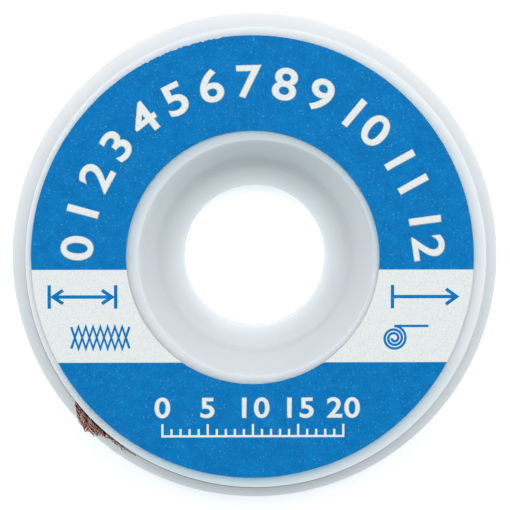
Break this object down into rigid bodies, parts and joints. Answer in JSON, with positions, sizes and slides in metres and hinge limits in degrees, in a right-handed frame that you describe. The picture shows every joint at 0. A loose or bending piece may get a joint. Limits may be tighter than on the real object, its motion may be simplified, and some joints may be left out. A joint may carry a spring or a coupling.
{
  "type": "desoldering braid",
  "caption": "Flat woven copper braid wound in a round two-piece plastic spool case, with a printed ring label on its front disc.",
  "frame": {"origin": "centre of the case's back face, on the axis of the spindle hole", "axes": "+Z along the spindle hole, out of the labelled front; +Y towards the top of the label"},
  "size_m": [0.055, 0.055, 0.0102],
  "materials": {
    "case_plastic": "satin",
    "copper_braid": "satin",
    "label_paper": "satin"
  },
  "bodies": {
    "root": {"front_flange": "case_plastic", "back_shell": "case_plastic", "braid": "copper_braid", "label": "label_paper"}
  },
  "joints": []
}
